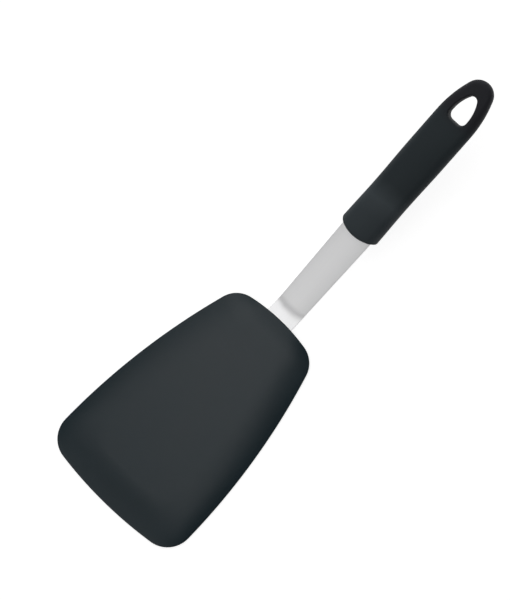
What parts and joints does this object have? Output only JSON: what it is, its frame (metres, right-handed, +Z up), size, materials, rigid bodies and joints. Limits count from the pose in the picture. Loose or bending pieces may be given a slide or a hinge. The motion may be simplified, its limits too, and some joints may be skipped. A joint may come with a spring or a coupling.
{
  "type": "silicone turner",
  "caption": "Flexible kitchen turner with a flat flared silicone blade, a bent stainless strap and a soft-touch handle with a hang hole, for lifting and flipping food.",
  "frame": {"origin": "centre of the blade's flat underside, half way between the neck edge and the working edge", "axes": "+X towards the working edge along the tool, +Y across the blade, +Z up out of the blade's top; the handle runs towards -X and rises"},
  "size_m": [0.3195, 0.1, 0.0651],
  "materials": {
    "blade_silicone": "matte moulded silicone",
    "spring_steel": "bare cold-rolled sheet",
    "stainless": "satin, brushed lengthwise",
    "core_plastic": "moulded",
    "grip_rubber": "soft-touch matte"
  },
  "bodies": {
    "root": {"silicone_blade": "blade_silicone", "spring_steel_sheet": "spring_steel", "steel_shank": "stainless", "handle_core": "core_plastic", "handle_grip": "grip_rubber"}
  },
  "joints": []
}
